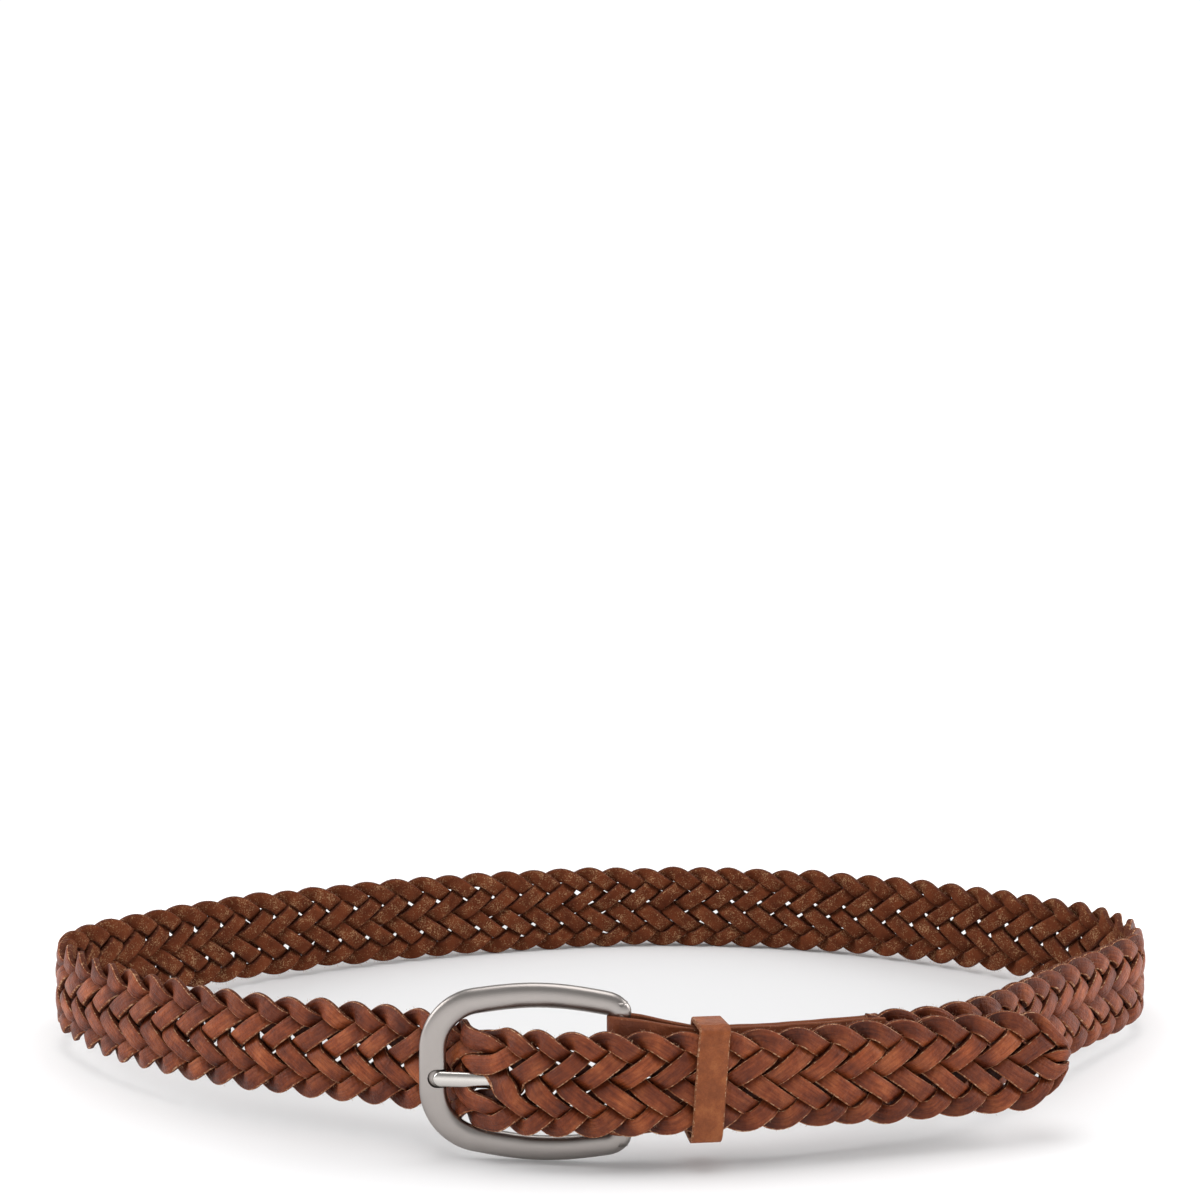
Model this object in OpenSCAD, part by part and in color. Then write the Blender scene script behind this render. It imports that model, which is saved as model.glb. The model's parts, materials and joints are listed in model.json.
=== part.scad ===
// Braided leather dress belt, buckled into a free-standing loop.
// The loop is drawn in plan: X runs along the front, Y runs from the front to the back
// and Z runs up the width of the strap. All lengths are in millimetres.

/* [Strap] */
// Width of the braided strap
strap_w = 30; // [29:0.5:31]
// Width of one lace
lace_w = 4.4; // [3.8:0.1:4.6]
// Thickness of one lace
lace_t = 1.9; // [1.5:0.1:2]
// Free space between two laces where they cross
cross_gap = 0.2; // [0.1:0.05:0.3]
// Length along the belt in which a lace crosses from one edge to the other
half_pitch = 37.8; // [36:0.2:39]
// Length of the tip past the point where it meets the chape again
tip_len = 148; // [140:1:150]

/* [Chape] */
// Length of the folded leather from the front centre to its end
chape_len = 84; // [78:1:90]
// Width of the folded leather
chape_w = 28; // [26:0.5:28]
// Width of the folded leather where it fills the buckle's bar
fold_w = 35; // [32:0.5:36]
// Thickness of the folded leather, one layer
chape_t = 2; // [1.8:0.1:2]

/* [Buckle] */
// Height of the buckle
buckle_h = 52.5; // [51.5:0.5:53]
// Length of the buckle, from the bar's axis to its far edge
buckle_len = 58.5; // [58:0.5:59]
// Thickness of the cast frame
frame_t = 4.2; // [3.8:0.1:4.2]
// Radius of the bar that the chape folds round
bar_r = 2; // [1.9:0.05:2]
// Width of the prong
prong_w = 4.6; // [4:0.1:4.6]
// Thickness of the prong
prong_t = 2.6; // [2.2:0.1:2.6]

/* [Keeper] */
// Width of the keeper band along the belt
keeper_w = 8.8; // [8.2:0.2:9.6]
// Thickness of the keeper leather
keeper_t = 1.6; // [1.4:0.1:1.8]
// Distance of the keeper's middle from the front centre
keeper_at = 30; // [27:0.5:33]

/* [Hidden] */
$fn = 64;
EPS = 0.01;

// ---- the loop in plan ----
// The front of the belt is two concentric arcs round this centre, chape inside and tip outside,
// so the keeper slides along them.
front_centre = [0, 235];
chape_r = 224.7;
tip_r = 232.3;
tip_from = -2;              // where the strap joins the tip's arc, in degrees from the front centre
tip_arc = 70;               // length of the tip that follows the arc; the rest is straight

function deg_on(length, radius) = length / radius * 180 / PI;
function on_arc(radius, phi) = front_centre + radius * [sin(phi), -cos(phi)];

chape_turn = deg_on(chape_len, chape_r);
straight = 0;               // the two straight runs get the lengths that close the loop
spare = -1;                 // one turn takes up what is left of the full circle

// Each run is [length, turn to the left in degrees], round the belt from the chape to the buckle.
LOOP_RUNS = [
    [14, deg_on(14, chape_r)], [31, 28.5], [straight, 0], [9.5, 21], [55, 60], [73, 18.5],
    [115, 36.5], [118.5, spare], [82, 24.5], [39.5, 64.5], [45.5, 16.5], [55.5, 20.5], [straight, 0],
    [8, -33], [8, 0], [12, 28], [22, 25]
];

function total(list, i = 0) = i == len(list) ? 0 : list[i] + total(list, i + 1);
spare_turn = 360 + tip_from - chape_turn - total([for (r = LOOP_RUNS) r[1] == spare ? 0 : r[1]]);
turned_runs = [for (r = LOOP_RUNS) [r[0], r[1] == spare ? spare_turn : r[1]]];
headings = [for (i = 0, h = chape_turn; i < len(turned_runs); h = h + turned_runs[i][1], i = i + 1) h];

function step(length, heading, turn) = abs(turn) < EPS
    ? length * [cos(heading), sin(heading)]
    : length / turn * 180 / PI * [sin(heading + turn) - sin(heading), cos(heading) - cos(heading + turn)];

// Solves the two straight lengths so that the strap ends exactly on the tip's arc.
run_steps = [for (i = [0:len(turned_runs) - 1]) step(turned_runs[i][0], headings[i], turned_runs[i][1])];
known_step = [total([for (s = run_steps) s[0]]), total([for (s = run_steps) s[1]])];
to_close = on_arc(tip_r, tip_from) - on_arc(chape_r, chape_turn) - known_step;
open_runs = [for (i = [0:len(turned_runs) - 1]) if (turned_runs[i][0] == straight) i];
dir_a = [cos(headings[open_runs[0]]), sin(headings[open_runs[0]])];
dir_b = [cos(headings[open_runs[1]]), sin(headings[open_runs[1]])];
det = dir_a[0] * dir_b[1] - dir_a[1] * dir_b[0];
len_a = (to_close[0] * dir_b[1] - to_close[1] * dir_b[0]) / det;
len_b = (dir_a[0] * to_close[1] - dir_a[1] * to_close[0]) / det;

RUNS = concat(
    [[chape_len, chape_turn]],
    [for (i = [0:len(turned_runs) - 1])
        [i == open_runs[0] ? len_a : i == open_runs[1] ? len_b : turned_runs[i][0], turned_runs[i][1]]],
    [[tip_arc, deg_on(tip_arc, tip_r)], [tip_len - tip_arc, 0]]
);
run_u = [for (i = 0, u = 0; i <= len(RUNS); u = u + (i < len(RUNS) ? RUNS[i][0] : 0), i = i + 1) u];
run_h = [for (i = 0, h = 0; i <= len(RUNS); h = h + (i < len(RUNS) ? RUNS[i][1] : 0), i = i + 1) h];
run_p = [for (i = 0, p = on_arc(chape_r, 0); i <= len(RUNS);
              p = p + (i < len(RUNS) ? step(RUNS[i][0], run_h[i], RUNS[i][1]) : [0, 0]), i = i + 1) p];
belt_len = run_u[len(RUNS)];

// The point at distance u along the belt, w out from the middle of the strap.
function run_at(u) = max(0, min(len(RUNS) - 1, len([for (m = run_u) if (m <= u) m]) - 1));
function on_belt(u, w) = let (i = run_at(u), d = u - run_u[i], turn = RUNS[i][1] * d / RUNS[i][0],
    heading = run_h[i] + turn)
    run_p[i] + step(d, run_h[i], turn) + w * [sin(heading), -cos(heading)];

// ---- the braid: seven laces, each over one, under two, over two, under one ----
LACES = 7;
braid_from = chape_len + 0.3;
braid_to = belt_len - lace_w / 2;
edge_angle = 33;                        // slope of the laces where they turn at the strap's edge
mitre = lace_w / 2 / cos(edge_angle);
turn_fill = 0.93;                       // keeps a turning lace clear of the next one
lace_span = strap_w - 2 * mitre;        // height that a lace's middle climbs
lace_angle = atan(lace_span / half_pitch);
side = lace_w / 2 / sin(2 * lace_angle);    // half a lace's width, measured along the other laces
weave = (lace_t + cross_gap) / 2;       // how far a lace's middle stands out where it crosses over
e = side / sqrt(lace_span * lace_span + half_pitch * half_pitch);
STEPS = [
    [0, 0], [1 / 7 - e, 1], [1 / 7 + e, 1], [2 / 7 - e, -1], [3 / 7 + e, -1],
    [4 / 7 - e, 1], [5 / 7 + e, 1], [6 / 7 - e, -1], [6 / 7 + e, -1], [1, 0]
];

// ---- the buckle's place ----
bar_phi = deg_on(6, chape_r);
bar_at = on_arc(chape_r, bar_phi);
buckle_turn = 5.6;                        // the far bar stands back from the tip by this angle
buckle_mid = 15.9;                      // height of the buckle's middle above the strap's lower edge
rail = 7.5;                             // height of the upper and lower rails
far_bar = 7.8;                          // width of the bar that the prong rests on
prong_z = 13.5;
notch_depth = 1.6;
notch_play = 0.4;                       // free space round the prong in its notch
running_fit = 0.08;
prong_end = -buckle_len + 6.6;          // middle of the prong's rounded end, in the buckle's own frame
notch_end = prong_end - 1.2;            // middle of the notch's rounded end
prong_back = -frame_t / 2 + notch_depth - 0.1;      // the prong's back face, in the same frame
rail_end = 4.3;                         // how far the rails run past the bar's axis

// ---- the hole that the prong opens in the braid ----
// The hole sits where two gaps of the braid cross, on the third of the seven crossing levels.
hole_z = strap_w / 2 + (3 / 7 - 0.5) * lace_span;
hole_u = run_u[len(RUNS) - 4] + 7.1;
hole_phase = 4 / 7;
whole_phases = 30;                      // keeps every phase positive
first_phase = (braid_from - hole_u) / half_pitch + hole_phase + whole_phases;
hole_push_u = 8.6;
hole_push_z = 3.9;
hole_reach_u = 30;
hole_reach_z = strap_w / 2 + 1;
hole_soft_u = 0.9;
hole_soft_z = 0.5;

// A place moves away from the hole by up to push, and not at all from reach onwards.
function pushed(d, push, reach, soft) = abs(d) >= reach ? d
    : d + push * d / sqrt(d * d + soft * soft) * (1 - abs(d) / reach);
function hole_fade(d) = abs(d) >= hole_reach_u ? 0 : pow(1 - pow(d / hole_reach_u, 2), 2);
function warp_u(u) = hole_u + pushed(u - hole_u, hole_push_u, hole_reach_u, hole_soft_u);
function warp_z(u, z) =
    hole_z + pushed(z - hole_z, hole_push_z * hole_fade(u - hole_u), hole_reach_z, hole_soft_z);

// The tip's outline: full width, then a rounded end that is a quarter as wide at the very end.
tip_round = 17;
end_width = 0.25;
function tip_scale(u) = let (d = max(0, u - (belt_len - tip_round)) / tip_round)
    sqrt(max(end_width * end_width, 1 - (1 - end_width * end_width) * d * d));

// One corner of a lace at phase a (0 at the lower edge, 1 at the upper edge, and so on).
function lace_corner(k, a, left, out) = let (
    m = floor(a + 1e-6), x = max(0, a - m), rising = m % 2 == 0,
    u = braid_from + (a - first_phase - 2 * k / LACES) * half_pitch,
    level = rising ? x : 1 - x,
    z_mid = strap_w / 2 + (level - 0.5) * lace_span,
    at_edge = x < 0.01,
    du = at_edge ? 0 : (rising ? -1 : 1) * left * side * cos(lace_angle),
    dz = at_edge ? left * mitre * turn_fill : left * side * sin(lace_angle),
    w = weave * lookup(x, STEPS) + out * lace_t / 2,
    u_w = min(belt_len - 0.5, max(chape_len + 0.3, warp_u(u + du))),
    z_w = warp_z(u_w, z_mid + dz),
    z = strap_w / 2 + (z_w - strap_w / 2) * tip_scale(u_w),
    p = on_belt(u_w, w)
) [p[0], p[1], z];

function lace_phases(k) = let (
    first = first_phase + 2 * k / LACES, last = first + (braid_to - braid_from) / half_pitch,
    near = first + (hole_u - braid_from) / half_pitch,
    whole = [for (m = [floor(first):ceil(last)]) for (i = [0:len(STEPS) - 2]) m + STEPS[i][0]],
    inside = [for (a = whole) if (a > first + 0.01 && a < last - 0.01) a],
    ends = concat([first], inside, [last])
) concat(
    [for (i = [0:len(ends) - 2])
        let (off = abs((ends[i] + ends[i + 1]) / 2 - near), n = off < 0.3 ? 12 : off < 0.7 ? 4 : 1)
        for (j = [0:n - 1]) ends[i] + (ends[i + 1] - ends[i]) * j / n],
    [last]
);

function lace_points(k) = [for (a = lace_phases(k)) for (c = [[1, 1], [1, -1], [-1, -1], [-1, 1]])
    lace_corner(k, a, c[0], c[1])];

module lace(k) {
    points = lace_points(k);
    rings = len(points) / 4;
    faces = concat(
        [[3, 2, 1, 0]],
        [for (r = [0:rings - 2]) for (c = [0:3]) for (half = [0, 1])
            let (n = (c + 1) % 4, b = 4 * r)
            half == 0 ? [b + n, b + 4 + c, b + c] : [b + 4 + n, b + 4 + c, b + n]],
        [[4 * rings - 4, 4 * rings - 3, 4 * rings - 2, 4 * rings - 1]]
    );
    polyhedron(points, faces, convexity = 10);
}

// ---- the keeper's place ----
keeper_gap = 2.9;                       // free space in front of the middle of the tip
keeper_phi = deg_on(keeper_at, chape_r);
keeper_half = deg_on(keeper_w / 2, (chape_r + tip_r) / 2);
keeper_in = chape_r - 3.6;
keeper_out = tip_r + keeper_gap;
keeper_front = keeper_out + keeper_t;
keeper_low = -0.5;
keeper_high = strap_w + 0.5;

// ---- how the belt stands: on the buckle's lower rail and on the back of the strap ----
buckle_corner = 15;                     // radius of the frame's two far corners
window_corner = 9;                      // radius of the window's two far corners
buckle_foot = buckle_mid - buckle_h / 2;
foot_y = bar_at[1] + (buckle_len - buckle_corner) * sin(buckle_turn) + frame_t / 2 * cos(buckle_turn);
path_samples = [for (u = [chape_len:3:belt_len]) on_belt(u, 0)];
skin = weave + lace_t / 2;
min_x = min([for (p = path_samples) p[0]]) - skin;
max_x = max([for (p = path_samples) p[0]]) + skin;
back_y = max([for (p = path_samples) p[1]]) + skin;
lean = atan(-buckle_foot / (back_y - foot_y));
front_y = front_centre[1] - keeper_front * cos(keeper_phi - keeper_half);
stand_y = (front_y + back_y) / 2 * cos(lean) + (keeper_low - keeper_t + strap_w) / 2 * sin(lean);
stand_z = foot_y * sin(lean) - buckle_foot * cos(lean);

module standing() {
    translate([-(min_x + max_x) / 2, -stand_y, stand_z])
        rotate([-lean, 0, 0])
            children();
}

module in_buckle() {
    translate([bar_at[0], bar_at[1], 0])
        rotate([0, 0, -buckle_turn])
            children();
}

// A plate in the XZ plane with rounded corners, through the buckle's thickness.
module plate(x0, x1, z0, z1, r_left, r_right, t) {
    module corner(x, z, r) {
        translate([x, t / 2, z])
            rotate([90, 0, 0])
                cylinder(h = t, r = r);
    }
    corner(x0 + r_left, z0 + r_left, r_left);
    corner(x0 + r_left, z1 - r_left, r_left);
    corner(x1 - r_right, z0 + r_right, r_right);
    corner(x1 - r_right, z1 - r_right, r_right);
    translate([x0, -t / 2, z0 + r_left])
        cube([x1 - x0 - r_right, t, z1 - z0 - 2 * r_left]);
    translate([x0 + r_left, -t / 2, z0])
        cube([x1 - x0 - r_left - r_right, t, z1 - z0]);
    translate([x1 - r_right - EPS, -t / 2, z0 + r_right])
        cube([r_right + EPS, t, z1 - z0 - 2 * r_right]);
}

module buckle_frame() {
    z0 = buckle_mid - buckle_h / 2;
    z1 = buckle_mid + buckle_h / 2;
    color("silver")
        standing() in_buckle() {
            difference() {
                plate(-buckle_len, rail_end, z0, z1, buckle_corner, 8, frame_t);
                plate(-buckle_len + far_bar, 4 * rail_end, z0 + rail, z1 - rail,
                    window_corner, bar_r, frame_t + 2);
                prong_notch();
            }
            translate([0, 0, z0 + rail - 1])
                cylinder(h = z1 - z0 - 2 * rail + 2, r = bar_r);
        }
}

module prong_notch() {
    wide = prong_w + 2 * notch_play;
    translate([notch_end, -frame_t / 2 + notch_depth, prong_z])
        rotate([90, 0, 0])
            cylinder(h = notch_depth + 1, r = wide / 2);
    translate([notch_end, -frame_t / 2 - 1, prong_z - wide / 2])
        cube([far_bar, notch_depth + 1, wide]);
}

module prong() {
    loop_r = bar_r + running_fit + 1.5;
    color("gainsboro")
        standing() in_buckle() {
            difference() {
                union() {
                    translate([0, 0, prong_z - prong_w / 2])
                        cylinder(h = prong_w, r = loop_r);
                    translate([prong_end, prong_back - prong_t, prong_z - prong_w / 2])
                        cube([-prong_end, prong_t, prong_w]);
                }
                translate([0, 0, prong_z - prong_w])
                    cylinder(h = 2 * prong_w, r = bar_r + running_fit);
            }
            translate([prong_end, prong_back, prong_z])
                rotate([90, 0, 0])
                    cylinder(h = prong_t, r = prong_w / 2);
        }
}

// ---- the chape: one strip of leather folded round the bar ----
chape_gap = 0.4;
chape_join = 8;                         // where the two layers meet, in degrees
chape_z = (strap_w - chape_w) / 2;
fold_z = buckle_mid - fold_w / 2;
flare = 21;                             // length over which the fold narrows to the chape's width

function arc_points(radius, phi0, phi1, n) = [for (i = [0:n]) on_arc(radius, phi0 + (phi1 - phi0) * i / n)];

// The chape in plan: round the bar at its left end, then along both faces to its end.
module chape_outline() {
    outer = chape_gap / 2 + chape_t;
    fold_r = bar_r + running_fit + chape_t;
    polygon(concat(
        [for (i = [0:12]) bar_at + fold_r * [sin(bar_phi - i * 15), -cos(bar_phi - i * 15)]],
        arc_points(chape_r - outer, chape_join, chape_turn, 9),
        arc_points(chape_r + outer, chape_turn, chape_join, 9)
    ));
}

// The gap between the two layers: open at the bar, thin from where they meet to the end.
module chape_gap_outline() {
    half_open = 0.8 * bar_r;
    away = [sin(bar_phi), -cos(bar_phi)];
    polygon(concat(
        [bar_at + half_open * away, bar_at - half_open * away],
        arc_points(chape_r - chape_gap / 2, chape_join, chape_turn + 1, 9),
        arc_points(chape_r + chape_gap / 2, chape_turn + 1, chape_join, 9)
    ));
}

// The chape from the front: as wide as the bar lets it be at the fold, then narrowing.
module chape_front_outline() {
    polygon([
        [-chape_len, fold_z], [bar_at[0] + bar_r, fold_z], [bar_at[0] + flare, chape_z],
        [2 * chape_len, chape_z], [2 * chape_len, chape_z + chape_w],
        [bar_at[0] + flare, chape_z + chape_w], [bar_at[0] + bar_r, fold_z + fold_w],
        [-chape_len, fold_z + fold_w]
    ]);
}

module chape() {
    color("sienna")
        standing() difference() {
            intersection() {
                translate([0, 0, fold_z - 1])
                    linear_extrude(height = fold_w + 2)
                        chape_outline();
                translate([0, chape_len, 0])
                    rotate([90, 0, 0])
                        linear_extrude(height = 2 * chape_len)
                            chape_front_outline();
            }
            translate([0, 0, fold_z - 2])
                linear_extrude(height = fold_w + 4)
                    chape_gap_outline();
            translate([bar_at[0], bar_at[1], fold_z - 2])
                cylinder(h = fold_w + 4, r = bar_r + running_fit);
            prong_slot();
        }
}

// The slot in the fold that lets the prong's loop reach the bar.
module prong_slot() {
    wide = prong_w + 1;
    translate([bar_at[0] - 10, bar_at[1] - 10, prong_z - wide / 2])
        cube([19, 20, wide]);
}

// ---- the stitches that close the chape ----
thread_r = 0.4;
pulled_r = 0.33;                        // the thread is thinner where it goes through the leather
STITCH_ROWS = [11, 19.6];               // places of the two rows, in degrees
stitches = 5;
stitch_len = 3.4;

// One stitch: a strand on each face and a strand through the leather at each end.
module stitch() {
    reach = chape_t + chape_gap / 2 + thread_r / 2;
    for (face = [-1, 1])
        translate([face * reach, 0, -stitch_len / 2 - thread_r])
            cylinder(h = stitch_len + 2 * thread_r, r = thread_r, $fn = 24);
    for (end = [-1, 1])
        translate([-reach, 0, end * stitch_len / 2])
            rotate([0, 90, 0])
                cylinder(h = 2 * reach, r = pulled_r, $fn = 24);
}

module chape_thread() {
    pitch = chape_w / stitches;
    color("saddlebrown")
        standing() for (phi = STITCH_ROWS) for (i = [0:stitches - 1])
            translate([front_centre[0], front_centre[1], chape_z + (i + 0.5) * pitch])
                rotate([0, 0, phi - 90])
                    translate([chape_r, 0, 0])
                        stitch();
}

// ---- the keeper: a band round chape and tip ----
module keeper() {
    color("peru")
        standing() translate([front_centre[0], front_centre[1], 0])
            rotate([0, 0, keeper_phi - keeper_half - 90])
                rotate_extrude(angle = 2 * keeper_half, $fn = 256)
                    difference() {
                        translate([keeper_in - keeper_t, keeper_low - keeper_t])
                            square([keeper_out - keeper_in + 2 * keeper_t,
                                keeper_high - keeper_low + 2 * keeper_t]);
                        translate([keeper_in, keeper_low])
                            square([keeper_out - keeper_in, keeper_high - keeper_low]);
                    }
}

// The wire staple that closes the band behind the chape.
staple_r = 0.4;
leg_r = 0.34;
staple_len = 7;

module keeper_staple() {
    color("silver")
        standing() translate([front_centre[0], front_centre[1], strap_w / 2])
            rotate([0, 0, keeper_phi - 90])
                translate([keeper_in - keeper_t - staple_r / 2, 0, 0]) {
                    translate([0, 0, -staple_len / 2 - staple_r])
                        cylinder(h = staple_len + 2 * staple_r, r = staple_r, $fn = 24);
                    for (end = [-1, 1])
                        translate([0, 0, end * staple_len / 2])
                            rotate([0, 90, 0])
                                cylinder(h = keeper_t * 0.8, r = leg_r, $fn = 24);
                }
}

module placed_lace(k) {
    color("chocolate")
        standing() lace(k);
}

buckle_frame();
prong();
chape();
chape_thread();
keeper();
keeper_staple();
placed_lace(0);  // lace_1
placed_lace(1);  // lace_2
placed_lace(2);  // lace_3
placed_lace(3);  // lace_4
placed_lace(4);  // lace_5
placed_lace(5);  // lace_6
placed_lace(6);  // lace_7
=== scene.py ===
"""Looks of the braided leather belt: seven braided laces, folded chape, keeper, cast buckle and prong.

Lengths are in millimetres in the belt's own frame, in which the strap's lower edge is at z = 0, and
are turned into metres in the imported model's frame by to_row().
"""
import json
import math

import bmesh
import bpy
import numpy as np
from mathutils import Matrix, Vector


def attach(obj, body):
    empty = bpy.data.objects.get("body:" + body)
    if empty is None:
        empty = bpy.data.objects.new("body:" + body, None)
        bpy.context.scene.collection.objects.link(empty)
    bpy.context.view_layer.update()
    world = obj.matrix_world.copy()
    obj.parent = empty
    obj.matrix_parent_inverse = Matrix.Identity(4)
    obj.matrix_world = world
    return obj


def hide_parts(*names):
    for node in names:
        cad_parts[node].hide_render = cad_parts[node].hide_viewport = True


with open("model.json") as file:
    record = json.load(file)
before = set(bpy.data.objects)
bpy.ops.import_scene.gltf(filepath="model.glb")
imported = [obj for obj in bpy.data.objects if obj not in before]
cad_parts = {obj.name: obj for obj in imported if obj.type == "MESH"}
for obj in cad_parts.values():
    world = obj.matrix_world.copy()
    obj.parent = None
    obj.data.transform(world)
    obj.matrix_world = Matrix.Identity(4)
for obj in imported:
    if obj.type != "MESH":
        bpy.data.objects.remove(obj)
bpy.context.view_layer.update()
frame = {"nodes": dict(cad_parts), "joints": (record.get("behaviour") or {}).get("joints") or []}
JOINTS = {j["name"]: j for j in frame["joints"]}

# ---- the strap, as in the CAD model ----
STRAP_W = 30.0
STRAP_MID = STRAP_W / 2
CHAPE_LEN = 84.0
TIP_LEN = 148.0
TIP_ARC = 70.0              # length of the tip that follows the arc; the rest is straight
CENTRE_Y = 235.0            # centre of the front's two concentric arcs
CHAPE_R = 224.7
TIP_R = 232.3
TIP_FROM = -2.0             # degrees
HALF_PITCH = 37.8
LACES = 7
SPARE = None                # stands for the two straight lengths and the turn that close the loop

# ---- the braid's looks ----
LACE_W = 5.5
LACE_T = 2.1
WEAVE = 1.5                 # how far a lace's middle stands out of the strap's middle
CREST = 0.40                # how much further it stands out between two laces that it passes over
LACE_SPAN = 27.9
ROUNDING = 0.11             # part of a half pitch over which a lace turns at the edge
RING_STEP = 0.8             # distance between two rings of a lace's mesh
TUCK = 5.5                  # length of a lace between the chape's layers
FLOOR_GAP = 0.00003         # metres; soft leather that would go through the floor is flattened to this height
TIP_ROUND = 15.0            # length of the tip's rounded end
FOLD_R = 2.6                # radius at which the laces turn back at the tip
FOLD_TAIL = 7.0             # length of the laces behind the tip
TIP_NARROW = 0.90           # how far the rounded tip narrows
HELD_FROM, HELD_TO = 20.0, 69.0   # stretch of the tip over which the keeper slides and squeezes the braid
HELD_BLEND = 8.0
HELD_THIN, HELD_NARROW = 0.25, 0.02   # how much thinner and narrower the braid is there
FUZZ_BAND = 4.5             # depth of the two edge bands of the strap that carry loose fibres

# ---- the buckle, in its own frame: x from the bar (0) to the far bar (negative), y back, z up ----
BAR_PHI = math.degrees(6 / CHAPE_R)
BUCKLE_TURN = 5.6           # degrees
BUCKLE_MID = 15.9
BUCKLE_H = 52.5
BUCKLE_LEN = 58.5
FRAME_T = 4.2
RAIL = 7.5
FAR_BAR = 7.8
RAIL_ARCH = 2.0             # how far the rails bow out
BUCKLE_CORNER = 15.0
RAIL_END_R = 5.4
BAR_R = 2.0
BAR_PLAY = 0.08
PRONG_Z = 13.5
PRONG_W = 4.6
PRONG_T = 2.6
PRONG_END = -51.9
PRONG_BACK = -0.6
NOTCH_DEPTH = 1.6
NOTCH_END = -53.1
NOTCH_W = 5.4

# ---- the chape and the keeper ----
CHAPE_W = 28.0
FOLD_W = 34.4               # width where the chape fills the bar
FLARE = 21.0                # length over which the fold narrows
CHAPE_T = 2.0
CHAPE_SPLAY = 78.0          # where the layers start to open round the laces
KEEPER_PHI = math.degrees(30 / CHAPE_R)
KEEPER_W = 8.8
KEEPER_T = 1.6
KEEPER_IN = CHAPE_R - 3.6
KEEPER_OUT = TIP_R + 2.9
KEEPER_LEAN = 4.3           # degrees
KEEPER_PLAY = 0.5           # above and below the strap
KEEPER_SOFT = 2.3           # radius of the band's corners
KEEPER_DROOP = 0.6          # how far the top drops towards the waist side


# ---------------------------------------------------------------- placing

def lean_matrix():
    """The belt leans back a little: the joints' axis is the belt's own vertical."""
    y, z = JOINTS["keeper_slide"]["axis"][1:]
    return np.array([[1, 0, 0], [0, z, y], [0, -y, z]])


LEAN = lean_matrix()
SHIFT = np.array(JOINTS["keeper_slide"]["pos_m"]) - LEAN @ np.array([0, CENTRE_Y / 1000, 0])


def to_row(points):
    """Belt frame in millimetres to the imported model's frame in metres."""
    return np.asarray(points, float) / 1000 @ LEAN.T + SHIFT


# ---------------------------------------------------------------- the strap in plan

def on_arc(radius, phi):
    """Plan point of the front's concentric arcs, phi degrees towards the tip's end."""
    phi = np.radians(phi)
    return np.stack([radius * np.sin(phi), CENTRE_Y - radius * np.cos(phi)], -1)


def run_step(length, heading, turn):
    """Plan step over a stretch of even curvature; degrees."""
    heading, turn = np.radians(heading), np.radians(turn)
    if abs(turn) < 1e-6:
        return length * np.array([np.cos(heading), np.sin(heading)])
    r = length / turn
    return r * np.array([np.sin(heading + turn) - np.sin(heading), np.cos(heading) - np.cos(heading + turn)])


def degrees_on(length, radius):
    return math.degrees(length / radius)


LOOP_RUNS = [
    (14, degrees_on(14, CHAPE_R)), (31, 28.5), (SPARE, 0), (9.5, 21), (55, 60), (73, 18.5),
    (115, 36.5), (118.5, SPARE), (82, 24.5), (39.5, 64.5), (45.5, 16.5), (55.5, 20.5), (SPARE, 0),
    (8, -33), (8, 0), (12, 28), (22, 25),
]


def close_loop(runs):
    """Fills in the closing turn and the two straight lengths."""
    chape_turn = degrees_on(CHAPE_LEN, CHAPE_R)
    spare = 360 + TIP_FROM - chape_turn - sum(t for _, t in runs if t is not SPARE)
    runs = [[n, spare if t is SPARE else t] for n, t in runs]
    heading, reach, open_dirs = chape_turn, np.zeros(2), []
    for n, turn in runs:
        if n is SPARE:
            open_dirs.append(run_step(1, heading, 0))
        else:
            reach += run_step(n, heading, turn)
        heading += turn
    to_close = on_arc(TIP_R, TIP_FROM) - on_arc(CHAPE_R, chape_turn) - reach
    lengths = list(np.linalg.solve(np.array(open_dirs).T, to_close))
    for run in runs:
        if run[0] is SPARE:
            run[0] = lengths.pop(0)
    return [[CHAPE_LEN, chape_turn]] + runs + [[TIP_ARC, degrees_on(TIP_ARC, TIP_R)], [TIP_LEN - TIP_ARC, 0]]


RUNS = close_loop(LOOP_RUNS)
RUN_U = np.concatenate([[0], np.cumsum([n for n, _ in RUNS])])
RUN_H = np.concatenate([[0], np.cumsum([t for _, t in RUNS])])
RUN_P = [on_arc(CHAPE_R, 0.0)]
for _i, (_n, _t) in enumerate(RUNS):
    RUN_P.append(RUN_P[-1] + run_step(_n, RUN_H[_i], _t))
RUN_P = np.array(RUN_P)
BELT_LEN = float(RUN_U[-1])


def on_belt(u, w):
    """Plan points at distance u along the belt, w out from the strap's middle (arrays)."""
    u, w = np.broadcast_arrays(np.asarray(u, float), np.asarray(w, float))
    i = np.clip(np.searchsorted(RUN_U, u, side="right") - 1, 0, len(RUNS) - 1)
    length = np.array([n for n, _ in RUNS])[i]
    turn_all = np.radians(np.array([t for _, t in RUNS]))[i]
    d = u - RUN_U[i]
    h0 = np.radians(RUN_H[i])
    turn = turn_all * d / length
    bent = np.abs(turn_all) > 1e-6
    r = np.where(bent, length / np.where(bent, turn_all, 1), 1)
    dx = np.where(bent, r * (np.sin(h0 + turn) - np.sin(h0)), d * np.cos(h0))
    dy = np.where(bent, r * (np.cos(h0) - np.cos(h0 + turn)), d * np.sin(h0))
    h = h0 + turn
    x = RUN_P[i, 0] + dx + w * np.sin(h)
    y = RUN_P[i, 1] + dy - w * np.cos(h)
    return x, y


# ---------------------------------------------------------------- materials

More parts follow.
